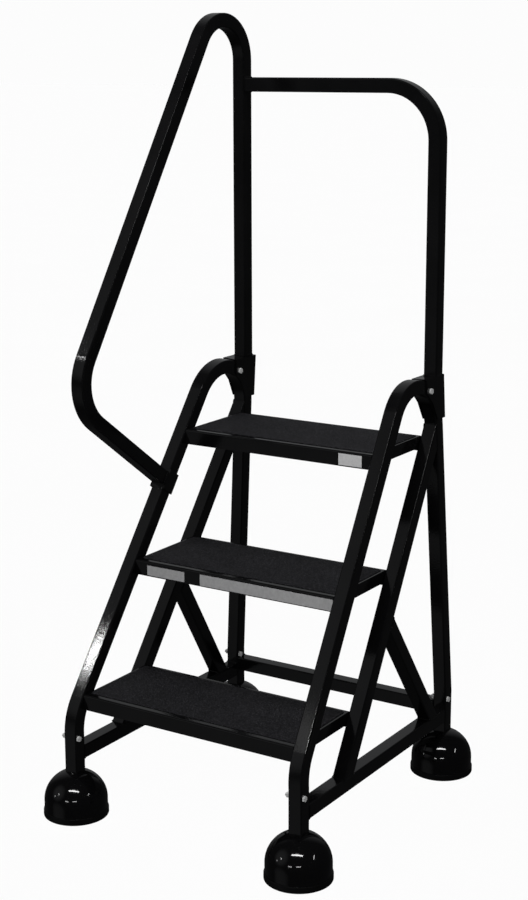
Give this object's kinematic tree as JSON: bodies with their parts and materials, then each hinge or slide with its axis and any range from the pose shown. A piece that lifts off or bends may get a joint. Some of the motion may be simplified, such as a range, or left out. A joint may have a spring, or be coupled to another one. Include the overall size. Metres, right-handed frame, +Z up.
{
  "type": "rolling library ladder",
  "caption": "Rolling step ladder of bent square tube with a handrail loop on the left, ribbed treads and domed rubber-rimmed feet over spring-loaded swivel casters.",
  "frame": {"origin": "middle of the four feet at floor level, which is the middle of the bounding box's bottom", "axes": "+X to the right of someone about to climb, +Y away from them, +Z up"},
  "size_m": [0.691, 0.754, 1.6641],
  "materials": {
    "black_coat": "semi-gloss black powder coat on steel tube and folded steel sheet",
    "tread": "charcoal ribbed rubber mat with a fine grit",
    "zinc": "bright zinc-plated steel",
    "cup_gloss": "high-gloss black enamel on pressed steel",
    "rim_rubber": "smooth black rubber",
    "tyre_rubber": "matt black rubber",
    "wheel_core": "moulded black nylon",
    "label": "blank matt grey film"
  },
  "bodies": {
    "ladder_frame": {"left_side_tube": "black_coat", "right_side_tube": "black_coat", "left_inner_rail": "black_coat", "right_inner_rail": "black_coat", "left_base_rail": "black_coat", "right_base_rail": "black_coat", "left_brace": "black_coat", "right_brace": "black_coat", "rear_cross_bar": "black_coat", "bottom_step_pan": "black_coat", "middle_step_pan": "black_coat", "top_step_pan": "black_coat", "left_handrail": "black_coat", "back_rail": "black_coat", "left_post_cap": "black_coat", "right_post_cap": "black_coat", "rail_saddle_bracket": "black_coat", "bottom_step_mat": "tread", "middle_step_mat": "tread", "top_step_mat": "tread", "post_cap_bolts": "zinc", "leg_bolts": "zinc", "label_plates": "label", "fl_cup": "cup_gloss", "fl_rim": "rim_rubber", "fl_socket": "zinc", "fl_spring": "zinc", "fr_cup": "cup_gloss", "fr_rim": "rim_rubber", "fr_socket": "zinc", "fr_spring": "zinc", "rl_cup": "cup_gloss", "rl_rim": "rim_rubber", "rl_socket": "zinc", "rl_spring": "zinc", "rr_cup": "cup_gloss", "rr_rim": "rim_rubber", "rr_socket": "zinc", "rr_spring": "zinc"},
    "fl_plunger": {"fl_stem": "zinc"},
    "fl_swivel": {"fl_fork": "zinc", "fl_axle": "zinc"},
    "fl_roller": {"fl_wheel": "wheel_core", "fl_tyre": "tyre_rubber"},
    "fr_plunger": {"fr_stem": "zinc"},
    "fr_swivel": {"fr_fork": "zinc", "fr_axle": "zinc"},
    "fr_roller": {"fr_wheel": "wheel_core", "fr_tyre": "tyre_rubber"},
    "rl_plunger": {"rl_stem": "zinc"},
    "rl_swivel": {"rl_fork": "zinc", "rl_axle": "zinc"},
    "rl_roller": {"rl_wheel": "wheel_core", "rl_tyre": "tyre_rubber"},
    "rr_plunger": {"rr_stem": "zinc"},
    "rr_swivel": {"rr_fork": "zinc", "rr_axle": "zinc"},
    "rr_roller": {"rr_wheel": "wheel_core", "rr_tyre": "tyre_rubber"}
  },
  "joints": [
    {"name": "fl_plunge", "type": "slide", "parent": "ladder_frame", "child": "fl_plunger", "axis": [0, 0, 1], "range_m": [0, 0.008], "stiffness_N_per_m": 6000, "springref_m": -0.02, "deforming": ["fl_spring"]},
    {"name": "fl_turn", "type": "hinge", "parent": "fl_plunger", "child": "fl_swivel", "pos_m": [-0.2765, -0.308, 0.06], "axis": [0, 0, 1], "continuous": true},
    {"name": "fl_roll", "type": "hinge", "parent": "fl_swivel", "child": "fl_roller", "pos_m": [-0.2765, -0.291, 0.025], "axis": [1, 0, 0], "continuous": true},
    {"name": "fr_plunge", "type": "slide", "parent": "ladder_frame", "child": "fr_plunger", "axis": [0, 0, 1], "range_m": [0, 0.008], "stiffness_N_per_m": 6000, "springref_m": -0.02, "deforming": ["fr_spring"]},
    {"name": "fr_turn", "type": "hinge", "parent": "fr_plunger", "child": "fr_swivel", "pos_m": [0.2765, -0.308, 0.06], "axis": [0, 0, 1], "continuous": true},
    {"name": "fr_roll", "type": "hinge", "parent": "fr_swivel", "child": "fr_roller", "pos_m": [0.2765, -0.291, 0.025], "axis": [1, 0, 0], "continuous": true},
    {"name": "rl_plunge", "type": "slide", "parent": "ladder_frame", "child": "rl_plunger", "axis": [0, 0, 1], "range_m": [0, 0.008], "stiffness_N_per_m": 6000, "springref_m": -0.02, "deforming": ["rl_spring"]},
    {"name": "rl_turn", "type": "hinge", "parent": "rl_plunger", "child": "rl_swivel", "pos_m": [-0.2765, 0.308, 0.06], "axis": [0, 0, 1], "continuous": true},
    {"name": "rl_roll", "type": "hinge", "parent": "rl_swivel", "child": "rl_roller", "pos_m": [-0.2765, 0.325, 0.025], "axis": [1, 0, 0], "continuous": true},
    {"name": "rr_plunge", "type": "slide", "parent": "ladder_frame", "child": "rr_plunger", "axis": [0, 0, 1], "range_m": [0, 0.008], "stiffness_N_per_m": 6000, "springref_m": -0.02, "deforming": ["rr_spring"]},
    {"name": "rr_turn", "type": "hinge", "parent": "rr_plunger", "child": "rr_swivel", "pos_m": [0.2765, 0.308, 0.06], "axis": [0, 0, 1], "continuous": true},
    {"name": "rr_roll", "type": "hinge", "parent": "rr_swivel", "child": "rr_roller", "pos_m": [0.2765, 0.325, 0.025], "axis": [1, 0, 0], "continuous": true}
  ]
}
